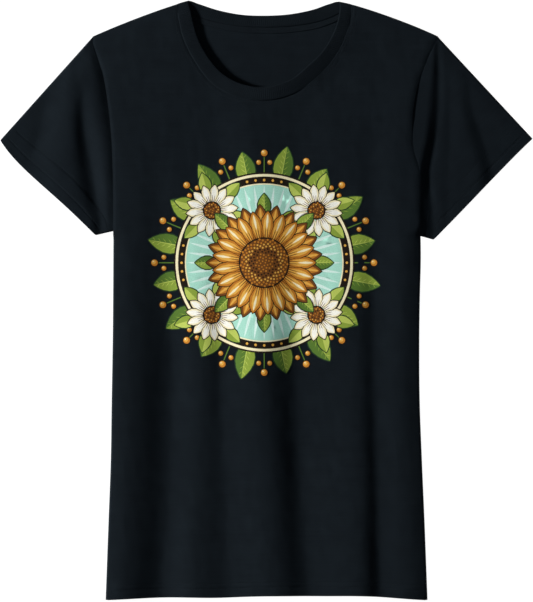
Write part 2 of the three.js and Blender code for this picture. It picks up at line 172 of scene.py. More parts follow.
# Soft creases: how many waves, shortest and longest, height, and how far drawn out along Y.
FRONT_CREASES = [(14, (34, 95), 0.36, 2.2), (18, (9, 24), 0.11, 1.6)]
SLEEVE_CREASES = (12, (22, 60), 0.16, 1.5)
CREASE_FADE, CREASE_RUN = 0.4, 0.53  # how far creases fade along their length, and how often
BODY_EASE, SLEEVE_EASE = 14, 12  # creases and hems are at full height this far from a folded edge
STITCH_LENGTH, STITCH_GAP, STITCH_WIDTH, STITCH_HEIGHT = 2.5, 0.7, 0.42, 0.3
STITCH_RINGS = [(-0.36, 0.75), (0, 1.0), (0.36, 0.75)]  # along it, and its thickness there
STITCH_SIDES = 6
HEM_INSET, CUFF_SPAN, NECK_SPAN = 4, (0.03, 0.97), (0.012, 0.988)  # where rows of stitches start and end
STITCH_LIFT, STITCH_DROP, NECK_STITCH_LIFT = 0.12, 0.1, 0.1  # out of the face
RIB = 1.1  # thickness of the neckband, folded double
RIB_PITCH, RIB_RELIEF, SEAM_RELIEF = 2.1, 0.09, 0.4  # of which this share is left in the seam
# The neckband's section from its seam to its fold: distance, and share of its full thickness.
BAND_SECTION = [
    (-0.5, 0.35), (0.5, 0.62), (2, 0.9), (4.5, 1.04), (7, 1.06),
    (9.3, 1.02), (11.2, 0.94), (11.9, 0.78), (12.2, 0.52), (12.35, 0.25),
]
BAND_SPAN, BAND_FOLD = 12.4, 12.6  # the width it is drawn at, and its fold on the cloth map
FOLD_OUT = 0.1  # how far the fold stands out past the free rim
TAPE_WIDTH, TAPE_HALF, TAPE_SET_BACK, TAPE_THICK = 6.6, 83.0, 0.8, 0.12
TAPE_LIFT, TAPE_CROWN, TAPE_ROUND = 0.15, 0.75, 0.8  # height of its edges, and its rise from them
TAPE_GROOVE, TAPE_ROW, TAPE_ROW_HALF = 0.25, 1.3, 0.5  # its rows of stitches

# ---- how fine the meshes are
CURVE_POINTS, BOW_POINTS, SEAM_POINTS, HEM_POINTS = 80, 40, 90, 120
ROW_POINTS, CUFF_ROW_POINTS = 500, 200  # of rows of stitches
CAP_STEPS = 3  # rows of points round a cut or folded edge
RING_STATIONS, STATION_STEP = 1600, 16  # round the neckband, and along a neckline
STATIONS_OFF = (160, 60)  # left out of the back's neckline at its ends
RINGS = [0.03, 0.1, 0.22, 0.42, 0.75, 1.2, 1.8, 2.6, 3.6, 4.8, 6.2]  # inside the outline
RING_CLEAR = 0.97  # points nearer to the outline than this share of it are left out
RING_STEP = 2.4
HEM_GRID = [7.8, 8.4, 9.0, 9.6, 10.2, 11.8, 13.3, 13.9, 14.5, 15.1, 15.7, 16.3, 17.0, 18.6]
FILL_X, FILL_Y = (-190, 190), (-305, 325)  # the plain grid of a panel
FILL_STRETCH = 1.2  # its rows are this much further apart than its columns
FILL_GAPS = (1.5, 1.0)  # between it and the hem's rows, and the rings
FRONT_STEP, BACK_STEP = 2.5, 4.0
EDGE_STEPS = [0, 0.08, 0.3, 0.7, 1.3, 2.2, 3.4, 5.0, 7.0, 9.4]  # round a sleeve, from its folds
ROW_STEPS = [-1.9, -1.3, -0.8, -0.4, 0, 0.4, 0.8, 1.3, 1.9]  # about a row of stitches
CUFF_GRID = [0, 0.5, 1.2, 2.5, 4.5, 6.4, 12.6, 14.4, 16.4, 18.6, 25.1, 26]  # from the cuff up
SLEEVE_STEP = 2.2
UPPER_STEP, UPPER_RUN = 1.7, 120  # up a sleeve, as if it were this long above its cuff's zone
ARMHOLE_STEPS = [0, 0.6, 1.2, 2, 3, 4.4]
TAPE_ROWS = [0, 0.1, 0.35, 0.8, 1.6, 3.3, 5, 5.8, 6.25, 6.5, 6.6]
TAPE_POINTS = 180


# ---- small maths
def ease(value, start, over):
    """0 up to start, then smoothly to 1 over a distance, which runs down from start if negative."""
    t = np.clip((value - start) / over, 0.0, 1.0)
    return t * t * (3 - 2 * t)


def mix(a, b, t):
    return a + (b - a) * t


def bell(distance, half):
    return np.exp(-((distance / half) ** 2))


def near(distance, reach):
    """1 at a line, easing to 0 at its reach."""
    return (1 - np.clip(distance / reach, 0, 1)) ** 2


def unit(vectors):
    """Vectors brought to length 1."""
    return vectors / np.maximum(np.linalg.norm(vectors, axis=-1, keepdims=True), 1e-9)


def polar(radius, angle, centre=(0, 0)):
    return centre[0] + radius * cos(angle), centre[1] + radius * sin(angle)


def quarter_turn(distance, reach):
    """The rise of a rounded edge, from 0 to 1 at its reach."""
    return np.sqrt(1 - near(distance, reach))


def round_edge(distance):
    """The rise from a folded edge: a tight turn, then a gentle swell."""
    return mix(quarter_turn(distance, EDGE_ROUND), 1 - near(distance, EDGE_SWELL), SWELL_SHARE)


def left_of(a, b, x, y):
    """Distance of (x, y) to the left of the line from a to b."""
    dx, dy = b[0] - a[0], b[1] - a[1]
    return (dx * (y - a[1]) - dy * (x - a[0])) / hypot(dx, dy)


def spline(points, count, closed=False):
    """count points along a centripetal Catmull-Rom curve."""
    p = np.asarray(points, float)
    ends = [p[-1], p, p[:2]] if closed else [2 * p[0] - p[1], p, 2 * p[-1] - p[-2]]
    p = np.vstack(ends)
    spans = len(p) - 3
    t = np.linspace(0, spans, count, endpoint=not closed)
    i = np.minimum(t.astype(int), spans - 1)
    f = (t - i)[:, None]
    a, b, c, d = (p[i + k] for k in range(4))
    ab, bc, cd = (np.linalg.norm(q - r, axis=1, keepdims=True) ** 0.5 for q, r in ((a, b), (b, c), (c, d)))
    into = ((b - a) / ab - (c - a) / (ab + bc) + (c - b) / bc) * bc
    out = ((c - b) / bc - (d - b) / (bc + cd) + (d - c) / cd) * bc
    return mix(b, c, 3 * f**2 - 2 * f**3) + into * (f**3 - 2 * f**2 + f) + out * (f**3 - f**2)


def upward(lines):
    """Lists of points that run down, as curves that run up."""
    return [spline(line, CURVE_POINTS)[::-1] for line in lines]


def at_y(curve, y, column=0):
    """What a curve that runs up has in a column at each y."""
    return np.interp(y, curve[:, 1], curve[:, column])


def run_of(path):
    """Distance along a path at each of its points."""
    return np.concatenate([[0], np.cumsum(np.linalg.norm(np.diff(path, axis=0), axis=1))])


def at_run(path, distance):
    """Points at these distances along a path."""
    run = run_of(path)
    return np.stack([np.interp(distance, run, column) for column in path.T], -1)


def along(path, share):
    """Points at these shares of a path's length."""
    return at_run(path, np.asarray(share) * run_of(path)[-1])


def distance_to(path, x, y):
    """Distance of each (x, y) to the nearest segment of a path."""
    best = np.full(np.shape(x), np.inf)
    for (ax, ay), (bx, by) in zip(path[:-1, :2], path[1:, :2]):
        dx, dy = bx - ax, by - ay
        t = np.clip(((x - ax) * dx + (y - ay) * dy) / (dx * dx + dy * dy), 0, 1)
        best = np.minimum(best, np.hypot(x - ax - t * dx, y - ay - t * dy))
    return best


def shares(length, step, start, end):
    """Shares of a length, at a step, with these distances kept from its start and its end."""
    middle = length - start[-1] - end[-1]
    count = max(2, round(middle / step))
    inner = start[-1] + middle * np.arange(1, count) / count
    return np.concatenate([start, inner, length - np.array(end[::-1])]) / length


# ---- outlines
HEM_CORNER = [OUT[side] * SIDES[side][-1][0] for side in (0, 1)]
SIDE_LINES = upward(SIDES)
CRESTS = upward(FOLD_LINES)
SLEEVE_CRESTS = [upward(lines) for lines in SLEEVE_LINES]
# The armhole seams from the shoulder down to the underarm.
ARMHOLES = [spline([SHOULDER_TIP[side], *ARMHOLE[side], UNDERARM[side]], SEAM_POINTS) for side in (0, 1)]


def bowed(a, b, bulge, late=0):
    """A line from a to b that bows to its left, with its fullest part nearer to b if late."""
    a, b = np.array(a, float), np.array(b, float)
    t = np.linspace(0, 1, BOW_POINTS)[:, None]
    left = np.array([a[1] - b[1], b[0] - a[0]]) / np.linalg.norm(b - a)
    bow = t ** (1 + late) * (1 - t)
    return a + (b - a) * t + left * bulge * bow / bow.max()


def hem_y(x):
    waves = sum(dip * bell(x - at, reach) for dip, at, reach in HEM_WAVES)
    return HEM_MID_Y - HEM_DROP * np.abs(x / HEM_CORNER[1]) ** HEM_CURL - waves


def from_shoulder(x, y):
    """Distance below the shoulder line of the side that x is on."""
    right = -left_of(SHOULDER_TIP[0], NECK_POINT[0], x, y) + SHOULDER_BULGE[0]
    left = -left_of(NECK_POINT[1], SHOULDER_TIP[1], x, y) + SHOULDER_BULGE[1]
    return np.where(x < 0, right, left)


def from_edge(x, y):
    """Distance in from the folded edge of the body, at its sides and shoulders."""
    half = np.where(x < 0, at_y(SIDE_LINES[0], y), at_y(SIDE_LINES[1], y))
    from_side = half + ARMHOLE_CLEAR * ease(y, *ARMHOLE_RISE) - np.abs(x)
    return np.minimum(from_side, from_shoulder(x, y))


def in_sleeve(side, x, y):
    """Distance in from the folded edges of a sleeve, above and below."""
    from_top = -OUT[side] * left_of(SHOULDER_TIP[side], CUFF_TOP[side], x, y)
    from_below = OUT[side] * left_of(UNDERARM[side], CUFF_LOW[side], x, y)
    return np.maximum(np.minimum(from_top, from_below), 0)


# ---- heights
def rolled(crests, x, y):
    """Height of cloth that rolls from each crest or trough line to the next."""
    height = at_y(crests[0], y, 2)
    for here, beyond in zip(crests, crests[1:]):
        start, end = at_y(here, y), at_y(beyond, y)
        goal = at_y(beyond, y, 2)
        skew = np.where(at_y(here, y, 2) > goal, FALL_SKEW, RISE_SKEW)
        height = mix(height, goal, ease(np.clip((x - start) / (end - start), 0, 1) ** skew, 0, 1))
    return height


def ripples(x, y, seed, waves, sizes, height, upright):
    """Soft creases: a seeded sum of slanting waves, drawn out along Y."""
    draw = np.random.default_rng(seed)
    total = np.zeros(np.shape(x))
    for _ in range(waves):
        angle, phase = draw.uniform(0, pi), draw.uniform(0, 2 * pi, 2)
        number = 2 * pi / draw.uniform(*sizes)
        u = number * (x * cos(angle) + y / upright * sin(angle))
        v = number * (y / upright * cos(angle) - x * sin(angle))
        fade = 1 - CREASE_FADE + CREASE_FADE * np.sin(CREASE_RUN * v + phase[1])
        total += np.sin(u + phase[0]) * fade
    return height * total / sqrt(waves)


def grooves(distance, rows):
    """How deep rows of stitches pull in, at a distance from the edge."""
    return sum(bell(distance - row, GROOVE_HALF) for row in rows) * NEEDLE_GROOVE


def hem_form(distance, along_hem, rows, depth):
    """What a turned hem does to the face: it stands proud, and its stitches pull in."""
    lift = HEM_LIFT * ease(distance, depth + HEM_STEP / 2, -HEM_STEP)
    pucker = np.sin(along_hem / PUCKER_RUNS[0]) * np.sin(along_hem / PUCKER_RUNS[1] + 1)
    return lift - grooves(distance, rows) * (1 + PUCKER * pucker)


def hem_cloth(distance, depth):
    """The cloth's thickness, more in the turned hem."""
    return JERSEY + HEM_TURN * ease(distance, depth + 0.5, -TURN_STEP)


def front_plain(x, y):
    """The front's outer face, without seams and creases."""
    plain = mix(CHEST_LOFT, SHOULDER_LOFT, ease(y, *YOKE))
    height = mix(rolled(CRESTS, x, y), plain, ease(y, *FOLDS_FADE))
    height = height - SHOULDER_FALL * near(from_shoulder(x, y), SHOULDER_REACH)
    for seam, (low, high, change, reach) in zip(ARMHOLES, ARMHOLE_FALL):
        fall = mix(low, high, ease(y, change, FALL_CHANGE))
        height = height - fall * near(distance_to(seam, x, y), reach)
    return SIDE_SEAM_Z + (PANEL_SPAN + height) * round_edge(from_edge(x, y))


def front_z(x, y):
    """The front's outer face."""
    z = front_plain(x, y)
    inward = ease(from_edge(x, y), 0, BODY_EASE)
    for number, creases in enumerate(FRONT_CREASES):
        z = z + ripples(x, y, SEED + number, *creases) * inward
    z = z + hem_form(y - hem_y(x), x, HEM_ROWS, HEM_DEPTH) * inward
    for seam, dip in zip(ARMHOLES, ARMHOLE_DIP):
        z = z - dip * bell(distance_to(seam, x, y), SEAM_REACH)
    from_neck = distance_to(NECKLINE, x, y)
    ridge = ease(x, *RIDGE_X) * ease(y, *RIDGE_Y)
    z = z + ridge * NECK_RIDGE * bell(from_neck, RIDGE_REACH)
    z = z - (1 - ridge) * NECK_DIP * bell(from_neck, SEAM_REACH)
    for row in NECK_ROWS:
        z = z - NECK_GROOVE * bell(from_neck - row, NECK_GROOVE_HALF)
    return np.maximum(z, SIDE_SEAM_Z)


def neck_lift(x, y):
    """How far the back stands off the surface inside the neck."""
    return BACK_LIFT * bell(x - LIFT_X, LIFT_REACH) * ease(y, *LIFT_TOP) * ease(y, *LIFT_BOTTOM)


def back_z(x, y):
    """The back's outer face, which the shirt lies on."""
    z = mix(SIDE_SEAM_Z, BACK_Z, round_edge(from_edge(x, y))) + neck_lift(x, y)
    for seam in ARMHOLES:
        z = z + BACK_DIP * bell(distance_to(seam, x, y), SEAM_REACH)
    return np.minimum(z + grooves(y - hem_y(x), HEM_ROWS), SIDE_SEAM_Z)


def sleeve_top_z(side, x, y, hem):
    """The upper layer of a sleeve. hem is the distance from the cuff."""
    inside = in_sleeve(side, x, y)
    from_body = OUT[side] * (x - at_y(ARMHOLES[side][::-1], y))
    own = mix(SLEEVE_FOLD_Z, rolled(SLEEVE_CRESTS[side], x, y), round_edge(inside))
    inward = ease(inside, 0, SLEEVE_EASE)
    creases = ripples(x, y, SEED + 2 + side, *SLEEVE_CREASES) * inward
    free = own + creases + hem_form(hem, x - y, CUFF_ROWS, CUFF_DEPTH) * inward * CUFF_FORM[side]
    tucked = np.minimum(front_plain(x, y) - ARMHOLE_DIP[side], free)
    return mix(tucked, free, ease(from_body, 0, SLEEVE_BLEND))


def sleeve_low_z(side, x, y, hem):
    """The lower layer of a sleeve, on the surface."""
    turn = round_edge(in_sleeve(side, x, y))
    return mix(SLEEVE_FOLD_Z, SLEEVE_LOW_Z, turn) + grooves(hem, CUFF_ROWS) * turn


# ---- the neckband's ring
def band_ring():
    """The neckband's sewn and free rims, from the wearer's right shoulder on, and their number of pairs."""
    right_seat, *left_seats = BAND_SEAT
    front = []
    for sewn, free in BAND_FRONT:
        leftward = ease(sewn[0], *BAND_TURN)
        left_seat = mix(*left_seats, ease(sewn[1], *SEAT_CHANGE))
        z = float(front_plain(*map(np.float64, sewn))) - mix(right_seat, left_seat, leftward)
        rise = mix(*BAND_RISE, leftward * (1 - RISE_LOSS * ease(sewn[1], *LOSS_CHANGE)))
        front.append([(*sewn, z), (*free, z + rise)])
    back = [[(*sewn, BAND_BACK_Z + neck_lift(*sewn)), (*free, BAND_BACK_Z)] for sewn, free in BAND_BACK]
    tips = [[(*NECK_POINT[side], SIDE_SEAM_Z), (*BAND_TIP[side], SIDE_SEAM_Z)] for side in (0, 1)]
    pairs = np.array([*front, tips[1], *back, tips[0]])
    return spline(pairs[:, 0], RING_STATIONS, True), spline(pairs[:, 1], RING_STATIONS, True), len(pairs)


SEWN, FREE, RING_PAIRS = band_ring()
FRONT_END = round((len(BAND_FRONT) - 1) / RING_PAIRS * RING_STATIONS)
BACK_END = round((RING_PAIRS - 1) / RING_PAIRS * RING_STATIONS)
FRONT_RIM = SEWN[: FRONT_END + 1 : STATION_STEP, :2]
BACK_RIM = SEWN[FRONT_END + STATIONS_OFF[0] : BACK_END - STATIONS_OFF[1] : STATION_STEP, :2]
NECKLINE = np.vstack([NECK_POINT[0], FRONT_RIM, NECK_POINT[1]])
BACK_NECKLINE = np.vstack([NECK_POINT[1], BACK_RIM, NECK_POINT[0]])


# ---- meshes
def place(name, data):
    """A new object in the scene."""
    made = bpy.data.objects.new(name, data)
    bpy.context.scene.collection.objects.link(made)
    return made


def add_mesh(name, points, faces, uv):
    """A smooth mesh piece with a map named cloth, in metres of flat cloth."""
    mesh = bpy.data.meshes.new(name)
    mesh.from_pydata((np.asarray(points) * MM).tolist(), [], faces)
    mesh.validate()
    layer = mesh.uv_layers.new(name="cloth")
    corners = np.zeros(len(mesh.loops), int)
    mesh.loops.foreach_get("vertex_index", corners)
    layer.data.foreach_set("uv", (np.asarray(uv)[corners] * MM).astype(np.float32).ravel())
    mesh.shade_smooth()
    piece = place(name, mesh)
    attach(piece, "root")
    return piece


def loop_faces(rows, columns, closed):
    """Quads of a grid of points whose rows close into a loop, and its columns if closed."""
    i, j = np.meshgrid(np.arange(rows), np.arange(columns if closed else columns - 1), indexing="ij")
    i2, j2 = (i + 1) % rows, (j + 1) % columns
    corners = [i * columns + j, i * columns + j2, i2 * columns + j2, i2 * columns + j]
    return np.stack(corners, -1).reshape(-1, 4).tolist()


def cap_rows(middle, half, normal, away):
    """Rows of points round an edge, from its outer face to its inner one."""
    turns = [pi * (k + 1) / (CAP_STEPS + 1) for k in range(CAP_STEPS)]
    return [middle + (normal * cos(a) + away * sin(a)) * half for a in turns]


def cut_plan(points, loops, merge):
    """The corners and triangles of a plan inside loops, each triangle with the last loop that it is in."""
    spots, _, faces, _, _, sources = delaunay_2d_cdt(points, [], loops, 1, merge, True)
    kept = [(face, max(source)) for face, source in zip(faces, sources) if source]
    return np.array([tuple(p) for p in spots]), kept


def shell(name, outer, thick, uv, closed=False, flip=False):
    """Cloth with two faces, from a grid of outer points whose first and last rows get rounded edges."""
    rows, columns = outer.shape[:2]
    across = np.roll(outer, -1, 1) - np.roll(outer, 1, 1) if closed else np.gradient(outer, axis=1)
    normal = unit(np.cross(across, np.gradient(outer, axis=0))) * (-1 if flip else 1)
    thick = np.broadcast_to(np.asarray(thick, float), (rows, columns))[..., None]
    inner = outer - normal * thick

    def cap(edge, nearby):
        middle = (outer[edge] + inner[edge]) / 2
        return cap_rows(middle, thick[edge] / 2, normal[edge], unit(outer[edge] - outer[nearby]))

    loop = np.concatenate([outer, cap(-1, -2), inner[::-1], cap(0, 1)[::-1]])
    count = len(loop)
    faces = loop_faces(count, columns, closed)
    if not closed:
        mirror = count - CAP_STEPS - 1  # the inner row that lies under outer row 0
        ends = [[r, r + 1, mirror - r - 1, mirror - r] for r in range(rows - 1)]
        ends += [range(rows - 1, rows + CAP_STEPS + 1), range(mirror, count + 1)]
        for column, way in ((0, 1), (columns - 1, -1)):
            faces += [[r % count * columns + column for r in ring[::way]] for ring in ends]
    if flip:
        faces = [face[::-1] for face in faces]
    maps = np.concatenate([uv, np.repeat(uv[-1:], CAP_STEPS, 0), uv[::-1], np.repeat(uv[:1], CAP_STEPS, 0)])
    return add_mesh(name, loop.reshape(-1, 3), faces, maps.reshape(-1, 2))


# ---- body panels
def body_side(side):
    """The body's edge from the hem up its side and its armhole."""
    y = np.linspace(hem_y(HEM_CORNER[side]), UNDERARM[side][1], CURVE_POINTS)
    edge = np.stack([OUT[side] * at_y(SIDE_LINES[side], y), y], 1)[:-1]
    return np.vstack([edge, ARMHOLES[side][::-1]])


def body_outline(neckline):
    """The panel's outline, counter-clockwise from its lower corner at -X."""
    x = np.linspace(*HEM_CORNER, HEM_POINTS)
    hem = np.stack([x, hem_y(x)], 1)
    left = bowed(NECK_POINT[1], SHOULDER_TIP[1], SHOULDER_BULGE[1])[::-1]
    right = bowed(SHOULDER_TIP[0], NECK_POINT[0], SHOULDER_BULGE[0])[::-1]
    walked = []
    for part in (hem, body_side(1), left, neckline[::-1], right, body_side(0)[::-1]):
        count = max(3, round(run_of(part)[-1] / RING_STEP) + 1)
        walked.append(along(part, np.linspace(0, 1, count))[:-1])
    return np.vstack(walked)


def inside_points(outline, step):
    """Points inside an outline: rings close to it, rows along the hem, and a plain grid."""
    ahead = unit(np.roll(outline, -1, 0) - np.roll(outline, 1, 0))
    inward = np.stack([-ahead[:, 1], ahead[:, 0]], 1)
    closed = np.vstack([outline, outline[:1]])
    groups = []
    for distance in RINGS:
        ring = outline + inward * distance
        groups.append(ring[distance_to(closed, *ring.T) > distance * RING_CLEAR])
    x = np.arange(*FILL_X, RING_STEP)
    rows = [np.stack([x, hem_y(x) + row], 1) for row in HEM_GRID]
    columns, lines = np.arange(*FILL_X, step), np.arange(*FILL_Y, step * FILL_STRETCH)
    gx, gy = (axis.ravel() for axis in np.meshgrid(columns, lines))
    high = gy > hem_y(gx) + HEM_GRID[-1] + FILL_GAPS[0]
    spread = np.vstack([*rows, np.stack([gx[high], gy[high]], 1)])
    groups.append(spread[distance_to(closed, *spread.T) > RINGS[-1] + FILL_GAPS[1]])
    return np.vstack(groups)


def panel(name, neckline, step, height, flip):
    """A body panel: cloth with two faces and a rounded edge. flip is for a face that looks down."""
    outline = body_outline(neckline)
    count = len(outline)
    points = np.vstack([outline, inside_points(outline, step)])
    plan, kept = cut_plan(points.tolist(), [list(range(count))], 1e-4)
    used, faces = np.unique([face for face, _ in kept], return_inverse=True)
    faces = faces.reshape(-1, 3)
    plan = plan[used]
    ring = np.array([int(np.argmin(np.hypot(*(plan - p).T))) for p in outline])
    if flip:
        faces, ring = faces[:, ::-1], ring[::-1]
    outer = np.column_stack([plan, height(*plan.T)])
    spans = np.cross(outer[faces[:, 1]] - outer[faces[:, 0]], outer[faces[:, 2]] - outer[faces[:, 0]])
    normal = np.zeros_like(outer)
    for corner in range(3):
        np.add.at(normal, faces[:, corner], spans)
    normal = unit(normal)
    depth = hem_cloth(plan[:, 1] - hem_y(plan[:, 0]), HEM_DEPTH)[:, None]
    inner = outer - normal * depth
    away = unit(np.cross(outer[np.roll(ring, -1)] - outer[np.roll(ring, 1)], normal[ring]))
    caps = cap_rows((outer + inner)[ring] / 2, depth[ring] / 2, normal[ring], away)

    total = len(outer)
    bands = [ring, *[2 * total + k * count + np.arange(count) for k in range(CAP_STEPS)], ring + total]
    all_faces = faces.tolist() + (faces[:, ::-1] + total).tolist()
    for here, below in zip(bands, bands[1:]):
        all_faces += np.stack([here, below, np.roll(below, -1), np.roll(here, -1)], 1).tolist()
    maps = np.vstack([plan, plan, *[plan[ring]] * CAP_STEPS])
    return add_mesh(name, np.vstack([outer, inner, *caps]), all_faces, maps)


front = panel("front_panel_cloth", NECKLINE, FRONT_STEP, front_z, False)
back = panel("back_panel_cloth", BACK_NECKLINE[::-1], BACK_STEP, back_z, True)


# ---- sleeves
def cuff_line(side):
    """The cuff from the underarm up to its outer corner."""
    return bowed(CUFF_LOW[side], CUFF_TOP[side], OUT[side] * -CUFF_BULGE[side], late=2)


def sleeve_lines(side, t):
    """Lines along a sleeve, from the underarm up: both ends, length, and how much follows the cuff."""
    seam, cuff = along(ARMHOLES[side][::-1], t), along(cuff_line(side), t)
    reach = np.linalg.norm(seam - cuff, axis=1)
    waver = 1 + CUFF_WAVER[side] * (1 - 2 * (2 * t - 1) ** 2)
    return seam, cuff, reach, np.minimum(CUFF_ZONE * waver, reach * ZONE_SHARE)


def around(upper, lower):
    """Columns of a sleeve's upper layer, and on from there those of its lower one."""
    return np.concatenate([upper, lower[:, -2:0:-1]], 1)


def sleeve(name, side):
    """A flat tube of cloth from the armhole to the cuff, with folded edges."""
    t = shares(run_of(cuff_line(side))[-1], SLEEVE_STEP, EDGE_STEPS, EDGE_STEPS)
    seam, cuff, reach, zone = sleeve_lines(side, t)
    stitch_rows = [row + step for row in CUFF_ROWS for step in ROW_STEPS]
    in_zone = np.array(sorted([*CUFF_GRID, *stitch_rows]))[:, None] / CUFF_ZONE
    above = shares(UPPER_RUN, UPPER_STEP, [0], ARMHOLE_STEPS)[1:, None]
    distance = np.concatenate([in_zone * zone, zone + above * (reach - zone)])[::-1]
    plan = cuff + (seam - cuff) * (distance / reach)[..., None]
    x, y = plan[..., 0], plan[..., 1]
    hem = distance * CUFF_ZONE / np.maximum(zone, 1)
    top = np.stack([x, y, sleeve_top_z(side, x, y, hem)], -1)
    low = np.stack([x, y, sleeve_low_z(side, x, y, hem)], -1)
    axis = unit(np.array(CUFF_TOP[side], float) - SHOULDER_TIP[side])
    grain = np.stack([plan @ np.array([axis[1], -axis[0]]), plan @ axis], -1)
    cloth = hem_cloth(around(hem, hem), CUFF_DEPTH)
    return shell(name, around(top, low), cloth, around(grain, grain), closed=True, flip=bool(side))


right_sleeve = sleeve("right_sleeve_cloth", 0)
left_sleeve = sleeve("left_sleeve_cloth", 1)


# ---- neckband and neck tape
def neckband():
    """A folded band of rib with its ribs as relief, swept round the ring."""
    width = np.linalg.norm(FREE - SEWN, axis=1, keepdims=True)
    across = (FREE - SEWN) / width
    middle = (SEWN + FREE) / 2
    travel = unit(np.roll(middle, -3, 0) - np.roll(middle, 3, 0))
    normal = unit(np.cross(travel, across))
    run = np.cumsum(np.linalg.norm(middle - np.roll(middle, 1, 0), axis=1))
    ribs = round(run[-1] / RIB_PITCH)
    wave = np.cos(2 * pi * ribs * run / run[-1])[:, None]
    rows, maps = [], []
    for face in (1, -1):
        for reach, swell in BAND_SECTION[::face]:
            relief = RIB_RELIEF * wave * (1 if reach > 1 else SEAM_RELIEF)
            out = normal * face * (RIB / 2 * swell + relief)
            rows.append(SEWN + across * (reach / BAND_SPAN * width) + out)
            maps.append(np.stack([run, np.full_like(run, reach * face)], 1))
        if face == 1:
            rows.append(FREE + across * FOLD_OUT)
            maps.append(np.stack([run, np.full_like(run, BAND_FOLD)], 1))
    faces = loop_faces(len(rows), RING_STATIONS, True)
    return add_mesh("neckband_rib", np.concatenate(rows), faces, np.concatenate(maps))


def neck_tape():
    """The tape sewn over the seam inside the back of the neck."""
    x = np.linspace(-TAPE_HALF, TAPE_HALF, TAPE_POINTS)
    seam = BACK_NECKLINE[np.argsort(BACK_NECKLINE[:, 0])]
    upper = np.interp(x, seam[:, 0], seam[:, 1]) - TAPE_SET_BACK
    v = np.array(TAPE_ROWS)[:, None]
    y = upper - TAPE_WIDTH + v
    x = np.broadcast_to(x, y.shape)
    edge = np.minimum(v, TAPE_WIDTH - v)
    z = back_z(x, y) + JERSEY + TAPE_LIFT + TAPE_CROWN * quarter_turn(edge, TAPE_ROUND)
    z = z - TAPE_GROOVE * bell(edge - TAPE_ROW, TAPE_ROW_HALF)
    return shell("neck_tape_cloth", np.stack([x, y, z], -1), TAPE_THICK, np.stack([x, y], -1))


band = neckband()
tape = neck_tape()


# ---- stitching
def stitch_form():
    """One stitch, a bead with pointed ends: points along, across and out, and faces."""
    points = [(-0.5, 0, 0)]
    for reach, swell in STITCH_RINGS:
        turns = [2 * pi * k / STITCH_SIDES for k in range(STITCH_SIDES)]
        points += [(reach, *polar(swell / 2, a)) for a in turns]
    points.append((0.5, 0, 0))
    last, faces = len(points) - 1, []
    for k in range(STITCH_SIDES):
        n = (k + 1) % STITCH_SIDES
        faces.append((0, 1 + n, 1 + k))
        for ring in range(1, last - STITCH_SIDES, STITCH_SIDES):
            beyond = ring + STITCH_SIDES
            faces.append((ring + k, ring + n, beyond + n, beyond + k))
        faces.append((last, last - STITCH_SIDES + k, last - STITCH_SIDES + n))
    return np.array(points) * (STITCH_LENGTH, STITCH_WIDTH, STITCH_HEIGHT), faces


def stitches(name, rows):
    """Raised stitches along paths. Each row is a path and which way is out."""
    form, form_faces = stitch_form()
    points, faces = [], []
    for path, out in rows:
        length = run_of(path)[-1]
        count = int(length / (STITCH_LENGTH + STITCH_GAP))
        middles = (np.arange(count) + 0.5) * length / count
        starts, ends = (at_run(path, middles + way * STITCH_LENGTH / 2) for way in (-1, 1))
        for start, end in zip(starts, ends):
            lie = unit(end - start)
            faces += [[len(points) * len(form) + corner for corner in face] for face in form_faces]
            points.append((start + end) / 2 + form @ np.stack([lie, np.cross(out, lie), out]))
    points = np.concatenate(points)
    return add_mesh(name, points, faces, points[:, :2])


def on_face(plan, z, lift):
    """A row of stitches on a face that looks up, or down if lift is negative."""
    return np.column_stack([plan, z + lift]), (0, 0, copysign(1, lift))


def hem_stitches():
    x = np.linspace(HEM_CORNER[0] + HEM_INSET, HEM_CORNER[1] - HEM_INSET, ROW_POINTS)
    rows = []
    for row in HEM_ROWS:
        plan = np.stack([x, hem_y(x) + row], 1)
        rows.append(on_face(plan, front_z(*plan.T), STITCH_LIFT))
        rows.append(on_face(plan, back_z(*plan.T), -STITCH_DROP))
    return stitches("hem_stitches", rows)


def cuff_stitches(name, side):
    seam, cuff, reach, zone = sleeve_lines(side, np.linspace(*CUFF_SPAN, CUFF_ROW_POINTS))
    rows = []
    for row in CUFF_ROWS:
        plan = cuff + (seam - cuff) * (row / CUFF_ZONE * zone / reach)[:, None]
        rows.append(on_face(plan, sleeve_top_z(side, *plan.T, row), STITCH_LIFT))
        rows.append(on_face(plan, sleeve_low_z(side, *plan.T, row), -STITCH_DROP))
    return stitches(name, rows)


def neck_stitches():
    path = along(NECKLINE, np.linspace(*NECK_SPAN, ROW_POINTS))
    ahead = unit(np.gradient(path, axis=0))
    rows = []
    for row in NECK_ROWS:
        plan = path + np.stack([ahead[:, 1], -ahead[:, 0]], 1) * row
        rows.append(on_face(plan, front_z(*plan.T), NECK_STITCH_LIFT))
    return stitches("neck_stitches", rows)


hem_thread = hem_stitches()
right_cuff_thread = cuff_stitches("right_cuff_stitches", 0)
left_cuff_thread = cuff_stitches("left_cuff_stitches", 1)
neck_thread = neck_stitches()


# ---- the print
PRINT_CENTRE = (-2.5, 41.0)
INK_HEIGHT = 0.2  # above the cloth
INK_REACH, INK_STEP, INK_FILL = 132, 3.1, 84  # points that let ink follow the cloth, out to INK_FILL
ROUND = 96  # sides of a large disc
INKS = dict(
    night="#1f170f", brown="#70431b", amber="#bd7828", gold="#e0a84a", cream="#f3e7bd", white="#faf7ea",
    forest="#233a22", green="#55742e", olive="#899e3d", lime="#b6c45c", mint="#a8dcc8", pale="#d6efe4",
)
SEED_BANDS = [(0.8, "amber"), (0.62, "gold"), (0.4, "night"), (0, "amber")]  # by share of the radius
GOLDEN_ANGLE = pi * (3 - sqrt(5))


